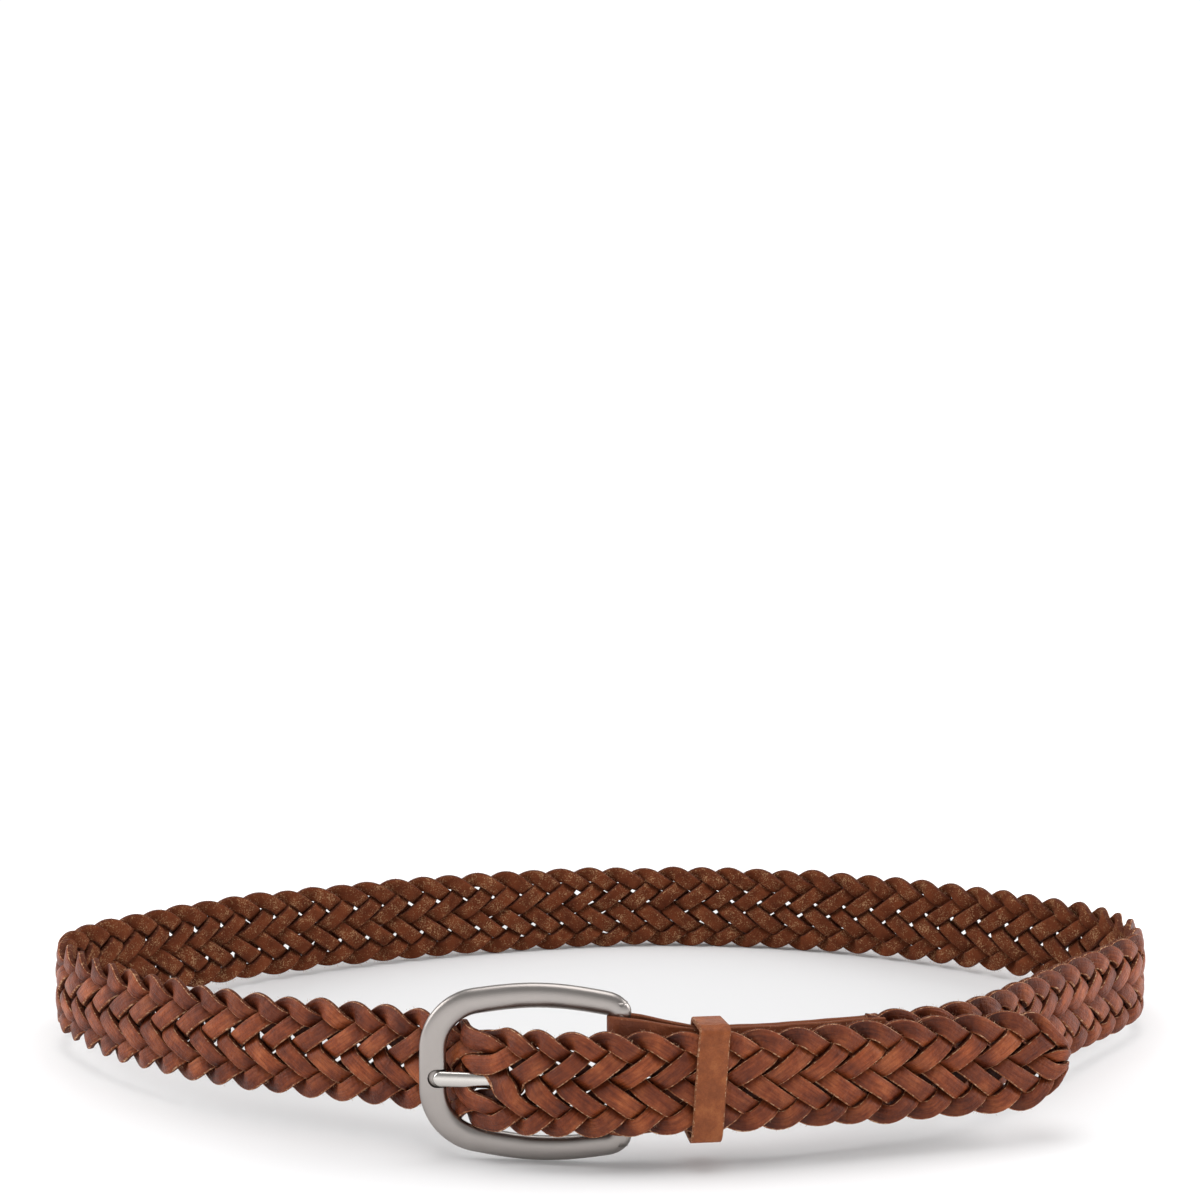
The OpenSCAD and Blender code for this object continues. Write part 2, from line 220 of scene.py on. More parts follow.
# painted shade and painted highlight: laces are tinted darker where they dip between their neighbours and
# paler on their crests
RELIEF_LOW, RELIEF_HIGH = -0.9, 1.45        # a lace's relief where its tint is the darkest and the palest
PAINTED_SHADE_HIGHLIGHT_TINTS = [(0.0, (0.42, 0.3612, 0.3276)), (0.55, (0.80, 0.78, 0.76)), (0.9, (1.0, 1.0, 1.0)),
               (1.0, (1.30, 1.36, 1.42))]
TONE_TINTS = [(0.1, (0.78, 0.75, 0.74)), (0.9, (1.16, 1.19, 1.22))]
STREAK_TINTS = [(0.34, (0.66, 0.60, 0.56)), (0.50, (0.96, 0.96, 0.96)), (0.68, (1.22, 1.26, 1.30))]


def node_material(name):
    mat = bpy.data.materials.new(name)
    mat.use_nodes = True
    nodes = mat.node_tree.nodes
    return mat, nodes, mat.node_tree.links, nodes["Principled BSDF"]


def ramp(nodes, stops):
    node = nodes.new("ShaderNodeValToRGB")
    elements = node.color_ramp.elements
    while len(elements) > len(stops):
        elements.remove(elements[-1])
    while len(elements) < len(stops):
        elements.new(0.5)
    for element, (place, colour) in zip(elements, stops):
        element.position = place
        element.color = (*colour, 1) if len(colour) == 3 else colour
    return node


def noise_node(nodes, links, coords, scale, detail=4, rough=0.55):
    node = nodes.new("ShaderNodeTexNoise")
    node.inputs["Scale"].default_value = scale
    node.inputs["Detail"].default_value = detail
    node.inputs["Roughness"].default_value = rough
    links.new(coords, node.inputs["Vector"])
    return node


def mix_colour(nodes, links, blend, factor, a, b):
    node = nodes.new("ShaderNodeMix")
    node.data_type = "RGBA"
    node.blend_type = blend
    for socket, value in ((node.inputs[0], factor), (node.inputs[6], a), (node.inputs[7], b)):
        if isinstance(value, bpy.types.NodeSocket):
            links.new(value, socket)
        else:
            socket.default_value = (*value, 1) if isinstance(value, tuple) else value
    return node.outputs[2]


def bump(nodes, links, height, strength, distance, under=None):
    node = nodes.new("ShaderNodeBump")
    node.inputs["Strength"].default_value = strength
    node.inputs["Distance"].default_value = distance
    links.new(height, node.inputs["Height"])
    if under:
        links.new(under, node.inputs["Normal"])
    return node.outputs["Normal"]


def attribute_node(nodes, name):
    node = nodes.new("ShaderNodeAttribute")
    node.attribute_name = name
    return node


def tinted(nodes, links, colour, value, stops):
    """The colour multiplied by the ramp's colour at value."""
    tint = ramp(nodes, stops)
    links.new(value, tint.inputs["Fac"])
    return mix_colour(nodes, links, "MULTIPLY", 1.0, colour, tint.outputs["Color"])


def paint_shade_and_highlight_by_relief(nodes, links, colour):
    """Painted shade darkens the leather where it dips between its neighbours and painted highlight pales its
    crests; each stretch differs a little.
    """
    scale = nodes.new("ShaderNodeMapRange")
    scale.inputs["From Min"].default_value = RELIEF_LOW
    scale.inputs["From Max"].default_value = RELIEF_HIGH
    links.new(attribute_node(nodes, "relief").outputs["Fac"], scale.inputs["Value"])
    colour = tinted(nodes, links, colour, scale.outputs["Result"], PAINTED_SHADE_HIGHLIGHT_TINTS)
    return tinted(nodes, links, colour, attribute_node(nodes, "tone").outputs["Fac"], TONE_TINTS)


def streaks(nodes, links, along, across, detail, rough):
    """Noise stretched along or across a lace; lay holds the place along and across it in millimetres."""
    scaled = nodes.new("ShaderNodeVectorMath")
    scaled.operation = "MULTIPLY"
    scaled.inputs[1].default_value = (along, across, 1.0)
    links.new(attribute_node(nodes, "lay").outputs["Vector"], scaled.inputs[0])
    return noise_node(nodes, links, scaled.outputs["Vector"], 1.0, detail, rough)


def grain_leather(name, dark, mid, light, rough=(0.38, 0.62), coarse=130, pore_contrast=0.35, laced=False):
    """Smooth-grained leather: cloudy dye, fine pores and creases; on the laces also streaks, painted shade in
    the dips and painted highlight on the crests.
    """
    mat, nodes, links, shader = node_material(name)
    coords = nodes.new("ShaderNodeTexCoord").outputs["Object"]
    cloud = noise_node(nodes, links, coords, coarse, 5, 0.6)
    tone = ramp(nodes, [(0.34, dark), (0.50, mid), (0.66, light)])
    links.new(cloud.outputs["Fac"], tone.inputs["Fac"])
    fine = noise_node(nodes, links, coords, 2600, 4, 0.6)
    speck = ramp(nodes, [(0.35, (0.72, 0.70, 0.68)), (0.6, (1.0, 1.0, 1.0))])
    links.new(fine.outputs["Fac"], speck.inputs["Fac"])
    colour = mix_colour(nodes, links, "MULTIPLY", pore_contrast, tone.outputs["Color"],
                        speck.outputs["Color"])
    if laced:
        # painted shade in the dips between laces and painted highlight on their crests
        colour = paint_shade_and_highlight_by_relief(nodes, links, colour)
        pull = streaks(nodes, links, 0.16, 1.5, 5, 0.6).outputs["Fac"]
        colour = tinted(nodes, links, colour, pull, STREAK_TINTS)
    links.new(colour, shader.inputs["Base Color"])
    wear = noise_node(nodes, links, coords, 420, 4, 0.6)
    gloss = nodes.new("ShaderNodeMapRange")
    gloss.inputs["To Min"].default_value = rough[0]
    gloss.inputs["To Max"].default_value = rough[1]
    links.new(wear.outputs["Fac"], gloss.inputs["Value"])
    links.new(gloss.outputs["Result"], shader.inputs["Roughness"])
    pores = nodes.new("ShaderNodeTexVoronoi")
    pores.inputs["Scale"].default_value = 1500
    links.new(coords, pores.inputs["Vector"])
    creases = noise_node(nodes, links, coords, 620, 7, 0.7)
    dents = noise_node(nodes, links, coords, 190, 3, 0.5)
    relief = bump(nodes, links, dents.outputs["Fac"], 0.45, 0.0016)
    if laced:
        wrinkles = streaks(nodes, links, 1.5, 0.45, 3, 0.5)
        relief = bump(nodes, links, pull, 0.45, 0.0009, relief)
        relief = bump(nodes, links, wrinkles.outputs["Fac"], 0.35, 0.0009, relief)
    relief = bump(nodes, links, creases.outputs["Fac"], 0.55, 0.0005, relief)
    relief = bump(nodes, links, pores.outputs["Distance"], 0.25, 0.0002, relief)
    links.new(relief, shader.inputs["Normal"])
    shader.inputs["Specular IOR Level"].default_value = 0.27
    return mat


def suede_leather(name, dark, mid, speck, speck_at):
    """Flesh side of the leather: matt nap with lighter fibres showing."""
    mat, nodes, links, shader = node_material(name)
    coords = nodes.new("ShaderNodeTexCoord").outputs["Object"]
    cloud = noise_node(nodes, links, coords, 150, 4, 0.6)
    tone = ramp(nodes, [(0.3, dark), (0.7, mid)])
    links.new(cloud.outputs["Fac"], tone.inputs["Fac"])
    nap = noise_node(nodes, links, coords, 1900, 5, 0.75)
    patch = noise_node(nodes, links, coords, 260, 2, 0.5)
    both = nodes.new("ShaderNodeMath")
    both.operation = "MULTIPLY_ADD"
    both.inputs[1].default_value = 0.35
    links.new(patch.outputs["Fac"], both.inputs[0])
    links.new(nap.outputs["Fac"], both.inputs[2])
    fibres = ramp(nodes, [(speck_at + 0.12, (0, 0, 0)), (speck_at + 0.26, (1, 1, 1))])
    links.new(both.outputs["Value"], fibres.inputs["Fac"])
    colour = mix_colour(nodes, links, "MIX", fibres.outputs["Color"], tone.outputs["Color"], speck)
    links.new(colour, shader.inputs["Base Color"])
    shader.inputs["Roughness"].default_value = 0.86
    shader.inputs["Specular IOR Level"].default_value = 0.1
    links.new(bump(nodes, links, nap.outputs["Fac"], 0.55, 0.0005), shader.inputs["Normal"])
    return mat


def raw_edge(name, dye, fibre, cover):
    """Cut edge of the leather: dyed, with pale fibres breaking through."""
    mat, nodes, links, shader = node_material(name)
    coords = nodes.new("ShaderNodeTexCoord").outputs["Object"]
    broken = noise_node(nodes, links, coords, 900, 5, 0.7)
    mask = ramp(nodes, [(cover, (0, 0, 0)), (cover + 0.14, (1, 1, 1))])
    links.new(broken.outputs["Fac"], mask.inputs["Fac"])
    colour = mix_colour(nodes, links, "MIX", mask.outputs["Color"], dye, fibre)
    links.new(colour, shader.inputs["Base Color"])
    shader.inputs["Roughness"].default_value = 0.8
    shader.inputs["Specular IOR Level"].default_value = 0.25
    links.new(bump(nodes, links, broken.outputs["Fac"], 0.6, 0.0005), shader.inputs["Normal"])
    return mat


def nickel(name, colour, rough, brush):
    """Plated metal with fine random brushing."""
    mat, nodes, links, shader = node_material(name)
    coords = nodes.new("ShaderNodeTexCoord").outputs["Object"]
    cloud = noise_node(nodes, links, coords, 90, 4, 0.6)
    tone = ramp(nodes, [(0.3, tuple(c * 0.92 for c in colour)), (0.7, colour)])
    links.new(cloud.outputs["Fac"], tone.inputs["Fac"])
    links.new(tone.outputs["Color"], shader.inputs["Base Color"])
    shader.inputs["Metallic"].default_value = 1.0
    grit = noise_node(nodes, links, coords, 3200, 3, 0.6)
    gloss = nodes.new("ShaderNodeMapRange")
    gloss.inputs["To Min"].default_value = rough - 0.05
    gloss.inputs["To Max"].default_value = rough + 0.06
    links.new(cloud.outputs["Fac"], gloss.inputs["Value"])
    links.new(gloss.outputs["Result"], shader.inputs["Roughness"])
    links.new(bump(nodes, links, grit.outputs["Fac"], brush, 0.0001), shader.inputs["Normal"])
    return mat


MATS = {
    "grain": grain_leather("lace_grain", (0.110, 0.0190, 0.0042), (0.200, 0.0390, 0.0090),
                           (0.305, 0.076, 0.0215), rough=(0.32, 0.54), laced=True),
    "suede": suede_leather("lace_suede", (0.080, 0.018, 0.0065), (0.165, 0.042, 0.015),
                           (0.42, 0.23, 0.115), 0.60),
    "edge": raw_edge("lace_edge", (0.085, 0.018, 0.0055), (0.30, 0.140, 0.066), 0.54),
    "line": raw_edge("lace_edge_line", (0.230, 0.064, 0.0220), (0.62, 0.38, 0.22), 0.49),
    "chape": grain_leather("chape_grain", (0.130, 0.029, 0.0080), (0.200, 0.048, 0.0135),
                           (0.26, 0.068, 0.0210), coarse=70),
    "chape_suede": suede_leather("chape_suede", (0.085, 0.022, 0.008), (0.15, 0.042, 0.016),
                                 (0.34, 0.18, 0.09), 0.66),
    "chape_edge": raw_edge("chape_edge", (0.16, 0.044, 0.016), (0.32, 0.15, 0.075), 0.58),
    "keeper": grain_leather("keeper_grain", (0.205, 0.050, 0.0120), (0.265, 0.069, 0.0172),
                            (0.340, 0.100, 0.0275), rough=(0.38, 0.56), coarse=240, pore_contrast=0.60),
    "keeper_suede": suede_leather("keeper_suede", (0.13, 0.04, 0.014), (0.20, 0.065, 0.025),
                                  (0.42, 0.25, 0.14), 0.64),
    "keeper_edge": raw_edge("keeper_edge", (0.20, 0.058, 0.020), (0.50, 0.30, 0.17), 0.50),
    "satin": nickel("satin_nickel", (0.350, 0.320, 0.302), 0.33, brush=0.22),
    "polished": nickel("polished_nickel", (0.56, 0.53, 0.50), 0.20, brush=0.05),
    "fibre": raw_edge("loose_fibres", (0.34, 0.16, 0.085), (0.60, 0.40, 0.27), 0.45),
    "thread": raw_edge("waxed_thread", (0.20, 0.065, 0.024), (0.36, 0.17, 0.08), 0.50),
}


# ---------------------------------------------------------------- meshes

def mesh_object(name, points, faces, materials, face_mats=None):
    """A smooth-shaded mesh from points in the belt's frame; nothing goes through the floor."""
    mesh = bpy.data.meshes.new(name)
    placed = to_row(points)
    placed[:, 2] = np.maximum(placed[:, 2], FLOOR_GAP)
    mesh.from_pydata([tuple(p) for p in placed], [], [tuple(f) for f in faces])
    for key in materials:
        mesh.materials.append(MATS[key])
    if face_mats is not None:
        mesh.polygons.foreach_set("material_index", np.asarray(face_mats, np.int32))
    mesh.polygons.foreach_set("use_smooth", np.full(len(mesh.polygons), True))
    mesh.update()
    obj = bpy.data.objects.new(name, mesh)
    bpy.context.scene.collection.objects.link(obj)
    return obj


def sweep_faces(rings, sides, closed=False):
    """Quads between successive rings of a tube, and the index of the profile side of each."""
    r = np.arange(rings if closed else rings - 1)[:, None]
    c = np.arange(sides)[None, :]
    n = (c + 1) % sides
    r2 = (r + 1) % rings
    quads = np.stack([r * sides + c, r * sides + n, r2 * sides + n, r2 * sides + c], -1).reshape(-1, 4)
    return quads, np.broadcast_to(c, (len(r), sides)).reshape(-1)


def smooth_noise(seed, knots, x, size):
    """Repeatable gentle random curve: one random value a knot, joined by cosine steps."""
    rng = np.random.default_rng(seed)
    values = rng.uniform(-1, 1, knots + 3)
    x = np.clip(x, 0, 1) * knots
    i = np.floor(x).astype(int)
    f = (1 - np.cos((x - i) * np.pi)) / 2
    return size * (values[i] * (1 - f) + values[i + 1] * f)


# ---- the braid ----
BRAID_FROM = CHAPE_LEN + 0.3
BRAID_TO = BELT_LEN + FOLD_R * math.pi / 2 + FOLD_TAIL
LACE_ANGLE = math.atan(LACE_SPAN / HALF_PITCH)
SHEAR = 1 / math.tan(2 * LACE_ANGLE)
HOLE_U = RUN_U[-5] + 7.1
HOLE_Z = PRONG_Z - 0.3
FIRST_PHASE = (BRAID_FROM - HOLE_U) / HALF_PITCH + 4 / 7 + 30     # puts a gap of the braid at the prong
HOLE_PUSH_U, HOLE_PUSH_Z = 3.6, 1.9
HOLE_REACH_U, HOLE_REACH_Z = 30.0, STRAP_MID + 1
HOLE_SOFT_U, HOLE_SOFT_Z = 0.9, 0.5

# how a lace wanders: seed of the first lace, knots over its length, size
WOBBLE = {"along": (50, 90, 0.45), "across": (70, 90, 0.35), "width": (90, 130, 0.08),
          "tilt": (110, 120, 0.16), "lift": (130, 100, 0.14), "tone": (150, 45, 0.5)}


def pushed(d, push, reach, soft):
    """Distance d from the prong, pushed outwards by up to push, and by nothing beyond reach."""
    moved = d + push * d / np.sqrt(d * d + soft * soft) * (1 - np.abs(d) / reach)
    return np.where(np.abs(d) >= reach, d, moved)


def open_hole(u, z):
    """Pushes the braid apart round the prong."""
    u = HOLE_U + pushed(u - HOLE_U, HOLE_PUSH_U, HOLE_REACH_U, HOLE_SOFT_U)
    d = u - HOLE_U
    fade = np.where(np.abs(d) >= HOLE_REACH_U, 0, (1 - (d / HOLE_REACH_U) ** 2) ** 2)
    z = HOLE_Z + pushed(z - HOLE_Z, HOLE_PUSH_Z * fade, HOLE_REACH_Z, HOLE_SOFT_Z)
    return u, z


def smooth(t):
    """0 to 1 with a soft start and end."""
    t = np.clip(t, 0, 1)
    return t * t * (3 - 2 * t)


def weave_out(x):
    """How far a lace stands out over one half pitch (x from 0 to 1), in parts of WEAVE.

    It passes over one lace, under two, over two and under one, and turns at the strap's edge."""
    x = np.mod(x, 1.0) * 7
    half = 0.36
    over = np.ones_like(x)
    for place, side in ((1.5, -1), (3.5, 1), (5.5, -1)):
        t = smooth((x - place + half) / (2 * half))
        over = over + (side - over) * t
    turn = smooth((np.where(x > 3.5, x - 7, x) + 0.75) / 1.5)
    over = np.where((x < 0.75) | (x > 6.25), 2 * turn - 1, over)
    crest = np.exp(-((x - 4.5) / 0.75) ** 2) - np.exp(-((x - 2.5) / 0.75) ** 2)
    edge = np.exp(-((x - 0.75) / 0.55) ** 2) - np.exp(-((x - 6.25) / 0.55) ** 2)
    return over + CREST * crest + 0.5 * CREST * edge


def fold_back(u, w):
    """Turns the laces back behind the tip: beyond the belt's end u runs round a small roll."""
    over = np.maximum(0, u - (BELT_LEN - FOLD_R))
    roll = np.minimum(over / FOLD_R, math.pi)
    tail = np.maximum(0, over - math.pi * FOLD_R)
    u2 = np.where(over > 0, BELT_LEN - FOLD_R + (w + FOLD_R) * np.sin(roll) - tail, u)
    w2 = np.where(over > 0, -FOLD_R + (w + FOLD_R) * np.cos(roll), w)
    return u2, w2


def in_keeper_travel(u):
    """1 where the keeper rides on the tip and squeezes its braid, 0 elsewhere."""
    from_tip = u - RUN_U[-3]
    return smooth((from_tip - HELD_FROM) / HELD_BLEND) * (1 - smooth((from_tip - HELD_TO) / HELD_BLEND))


def tip_scale(u):
    """Width of the strap near its rounded end, against its full width."""
    d = np.clip((u - (BELT_LEN - TIP_ROUND)) / TIP_ROUND, 0, 1)
    return np.sqrt(1 - TIP_NARROW * d * d)


LACE_PARTS = ["grain", "line", "edge", "suede"]
EDGE_SIDES = (8, 16)        # points of the section that lie on the two cut edges


def lace_profile():
    """Points of a lace's section: (across, out) in half widths and half thicknesses, with the index in
    LACE_PARTS of the side that starts there. Left is +1 across, out is +1."""
    rows = []
    for across in np.linspace(-0.86, 0.86, 7):
        rows.append((across, 1.0 + 0.32 * (1 - across * across), 0))
    rows += [(0.96, 0.84, 1), (1.0, 0.60, 2), (1.01, 0.0, 2), (0.98, -0.66, 2), (0.90, -0.94, 3)]
    for across in np.linspace(0.5, -0.5, 3):
        rows.append((across, -1.04, 3))
    rows += [(-0.90, -0.94, 2), (-0.98, -0.66, 2), (-1.01, 0.0, 2), (-1.0, 0.60, 1), (-0.96, 0.84, 1)]
    return rows


def lace_geometry(k, ring_step=RING_STEP):
    """Points of lace k ring by ring, the counts of rings and sides, the sides' parts and the attributes."""
    profile = lace_profile()
    q = np.array([p[0] for p in profile])[None, :]
    out = np.array([p[1] for p in profile])[None, :]
    side_mats = np.array([p[2] for p in profile])
    first = FIRST_PHASE + 2 * k / LACES
    lead = TUCK / HALF_PITCH
    last = first + (BRAID_TO - BRAID_FROM) / HALF_PITCH
    per_phase = math.hypot(HALF_PITCH, LACE_SPAN)
    n = int((last - first + lead) * per_phase / ring_step)
    a = np.linspace(first - lead, last, n)
    part = (a - a[0]) / (a[-1] - a[0])

    def wobble(key):
        seed, knots, size = WOBBLE[key]
        return smooth_noise(seed + k, knots, part, size)

    # middle line in the strap's own plane: a zigzag with rounded turns
    m = np.floor(a)
    x = a - m
    near = np.minimum(x, 1 - x)
    rounded = np.where(near < ROUNDING, near * near / (2 * ROUNDING) + ROUNDING / 2, near)
    zig = np.where(x < 0.5, rounded, 1 - rounded)
    level = np.where(m % 2 == 0, zig, 1 - zig)
    u = BRAID_FROM + (a - first) * HALF_PITCH + wobble("along")
    z = STRAP_MID + (level - 0.5) * LACE_SPAN + wobble("across")
    du, dz = np.gradient(u), np.gradient(z)
    speed = np.hypot(du, dz)
    du, dz = du / speed, dz / speed
    half_w = LACE_W / 2 * (1 + wobble("width"))

    # where the lace lies over or under, sheared so that it steps down beside the lace it crosses
    slope_side = dz / math.sin(LACE_ANGLE)
    shift = q * half_w[:, None] * SHEAR * slope_side[:, None] / per_phase
    relief = weave_out(a[:, None] + shift)
    w_mid = WEAVE * relief
    tilt = wobble("tilt")[:, None] * q
    lift = wobble("lift")[:, None]
    uu = u[:, None] - q * half_w[:, None] * dz[:, None]
    zz = z[:, None] + q * half_w[:, None] * du[:, None]
    uu, zz = open_hole(uu, zz)
    pinch = 0.5 + 0.5 * smooth((uu - CHAPE_LEN + 2) / 8)
    ww = (w_mid + tilt + lift) * pinch + out * LACE_T / 2
    held = in_keeper_travel(uu)
    ww = ww * (1 - HELD_THIN * held)
    zz = STRAP_MID + (zz - STRAP_MID) * tip_scale(uu) * (1 - HELD_NARROW * held)
    uu, ww = fold_back(uu, ww)
    px, py = on_belt(uu, ww)
    points = np.stack([px, py, zz], -1).reshape(-1, 3)
    tone = 0.5 + wobble("tone")[:, None] + 0 * q
    lay = np.stack([a[:, None] * per_phase + 0 * q, q * half_w[:, None], out + 20.0 * k + 0 * a[:, None]], -1)
    return points, n, len(profile), side_mats, relief.reshape(-1), tone.reshape(-1), lay.reshape(-1)


def build_lace(k):
    """One lace with its grain, its pale edge lines, its cut edges and its flesh side."""
    points, rings, sides, side_mats, relief, tone, lay = lace_geometry(k)
    quads, side = sweep_faces(rings, sides)
    caps = [list(range(sides))[::-1], [(rings - 1) * sides + i for i in range(sides)]]
    faces = [list(f)[::-1] for f in quads] + [c[::-1] for c in caps]
    mats = list(side_mats[side]) + [LACE_PARTS.index("edge")] * 2
    name = f"lace_{k + 1}"
    obj = mesh_object(name + "_leather", points, faces, LACE_PARTS, mats)
    for attribute, values in (("relief", relief), ("tone", tone)):
        obj.data.attributes.new(attribute, "FLOAT", "POINT").data.foreach_set("value", values)
    obj.data.attributes.new("lay", "FLOAT_VECTOR", "POINT").data.foreach_set("vector", lay)
    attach(obj, "strap")
    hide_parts(name)


def build_fuzz():
    """Loose fibres on the cut edges of the laces where they turn at the strap's two edges."""
    rng = np.random.default_rng(21)
    points, faces = [], []
    for k in range(LACES):
        grid, rings, sides = lace_geometry(k, 0.45)[:3]
        grid = grid.reshape(rings, sides, 3)
        for edge_side in EDGE_SIDES:
            rows = np.arange(4, rings - 4)
            z = grid[rows, edge_side, 2]
            outermost = ((z > STRAP_W - FUZZ_BAND) | (z < FUZZ_BAND)) & (rng.random(len(rows)) < 0.85)
            for row in rows[outermost]:
                base = grid[row, edge_side] + rng.normal(0, 0.28, 3)
                middle = grid[row].mean(0)
                out = base - middle
                if abs(out[2]) < 0.4:
                    continue
                out = out / np.linalg.norm(out) + rng.normal(0, 0.42, 3)
                along = grid[row + 1, edge_side] - grid[row - 1, edge_side]
                along /= np.linalg.norm(along)
                length = rng.uniform(0.25, 0.75)
                width = rng.uniform(0.035, 0.06)
                mid = base + out * length * 0.55 + along * rng.normal(0, 0.10)
                tip = base + out * length + along * rng.normal(0, 0.25)
                n = len(points)
                points += [base - along * width, base + along * width, mid + along * width * 0.7,
                           mid - along * width * 0.7, tip]
                faces += [(n, n + 1, n + 2, n + 3), (n + 3, n + 2, n + 4)]
    obj = mesh_object("lace_edge_fibres", points, faces, ["fibre"])
    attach(obj, "strap")


# ---------------------------------------------------------------- buckle, prong, chape, keeper, thread

def rounded_profile(width, thick, radius):
    """Rectangle with rounded corners as (across, out) points, going from the outer face by its + side."""
    points = []
    for cx, cy, start in ((1, 1, 90), (1, -1, 0), (-1, -1, -90), (-1, 1, 180)):
        for t in np.radians((start, start - 30, start - 60, start - 90)):
            points.append((cx * (width / 2 - radius) + radius * math.cos(t),
                           cy * (thick / 2 - radius) + radius * math.sin(t)))
    return points


def strip_sides(profile, width):
    """For each side of a strip's section: 0 for the grain face, 1 for the flesh face, 2 for the edges."""
    sides = []
    for (across, out), (next_across, next_out) in zip(profile, np.roll(profile, -1, axis=0)):
        face = 0 if out + next_out > 0 else 1
        sides.append(face if abs(across - next_across) > width / 2 else 2)
    return sides


def in_buckle(points):
    """Buckle frame to belt frame."""
    p = np.asarray(points, float)
    t = math.radians(BUCKLE_TURN)
    bx, by = on_arc(CHAPE_R, BAR_PHI)
    return np.stack([bx + p[..., 0] * math.cos(t) + p[..., 1] * math.sin(t),
                     by - p[..., 0] * math.sin(t) + p[..., 1] * math.cos(t), p[..., 2]], -1)


def tube(points_by_ring, name, materials, side_mats=None, closed=False, body="strap", node=None):
    """A closed tube from rings of points; face materials go by the side of the profile."""
    rings, sides = points_by_ring.shape[:2]
    quads, side = sweep_faces(rings, sides, closed)
    faces = [list(f)[::-1] for f in quads]
    mats = [side_mats[i] if side_mats is not None else 0 for i in side]
    if not closed:
        faces += [list(range(sides)), [(rings - 1) * sides + i for i in range(sides)][::-1]]
        mats += [mats[0] if side_mats is None else len(materials) - 1] * 2
    obj = mesh_object(name, points_by_ring.reshape(-1, 3), faces, materials, mats)
    tidy_normals(obj)
    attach(obj, body)
    if node:
        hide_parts(node)
    return obj


def tidy_normals(obj):
    bm = bmesh.new()
    bm.from_mesh(obj.data)
    bmesh.ops.recalc_face_normals(bm, faces=bm.faces)
    bm.to_mesh(obj.data)
    bm.free()


def carve(obj, cutter):
    """Cuts the cutter's shape out of obj and removes the cutter."""
    cut = obj.modifiers.new("cut", "BOOLEAN")
    cut.object = cutter
    cut.solver = "EXACT"
    bpy.context.view_layer.update()
    mesh = bpy.data.meshes.new_from_object(obj.evaluated_get(bpy.context.evaluated_depsgraph_get()))
    obj.modifiers.clear()
    obj.data = mesh
    bpy.data.objects.remove(cutter)


def sharp_by_angle(obj, degrees):
    obj.data.set_sharp_from_angle(angle=math.radians(degrees))


def superellipse(a, b, power, n):
    """n points round a rounded section with half axes a and b; power 2 is an ellipse, more is squarer."""
    t = np.linspace(0, 2 * np.pi, n, endpoint=False)
    c, s = np.cos(t), np.sin(t)
    return np.stack([a * np.sign(c) * np.abs(c) ** (2 / power),
                     b * np.sign(s) * np.abs(s) ** (2 / power)], -1)


def buckle_path():
    """Middle line of the frame from the lower rail's right end round to the upper rail's, as
    (x, z above the middle, outward x, outward z, half width, flatness)."""
    top = BUCKLE_H / 2 - RAIL / 2 - RAIL_ARCH
    left = -BUCKLE_LEN + FAR_BAR / 2
    x0, x1 = left + BUCKLE_CORNER, 0.8 - RAIL_END_R
    slope = math.degrees(math.atan(RAIL_ARCH * math.pi / (x1 - x0)))    # of the arched rail at its two ends
    thin = RAIL / 2 - 0.3                                               # half width at the rail's end

    def round_part(cx, radius, degrees):
        r = math.radians(degrees)
        return cx + radius * math.sin(r), top - radius + radius * math.cos(r)

    upper = []
    for t in np.linspace(0, 1, 12, endpoint=False):         # the left half of the far bar up to the corner
        upper.append((left, (top - BUCKLE_CORNER) * t, FAR_BAR / 2, 1.0 - 0.5 * t))
    for t in np.linspace(0, 1, 26, endpoint=False):
        x, z = round_part(x0, BUCKLE_CORNER, -90 + (90 - slope) * t)
        upper.append((x, z, FAR_BAR / 2 * (1 - t) + RAIL / 2 * t, 0.5 - 0.5 * t))
    rail_from, rail_to = round_part(x0, BUCKLE_CORNER, -slope), round_part(x1, RAIL_END_R, slope)
    for t in np.linspace(0, 1, 34, endpoint=False):
        x, z = (a * (1 - t) + b * t for a, b in zip(rail_from, rail_to))
        upper.append((x, z + RAIL_ARCH * math.sin(math.pi * t), RAIL / 2 * (1 - t) + thin * t, 0.0))
    for t in np.linspace(slope, 84, 12):
        x, z = round_part(x1, RAIL_END_R, t)
        upper.append((x, z, thin - 0.3 * t / 84, 0.0))
    upper = np.array(upper)
    path = np.concatenate([(upper * (1, -1, 1, 1))[:0:-1], upper])
    along = np.gradient(path[:, :2], axis=0)
    along /= np.linalg.norm(along, axis=1)[:, None]
    return np.column_stack([path[:, :2], -along[:, 1], along[:, 0], path[:, 2:]])


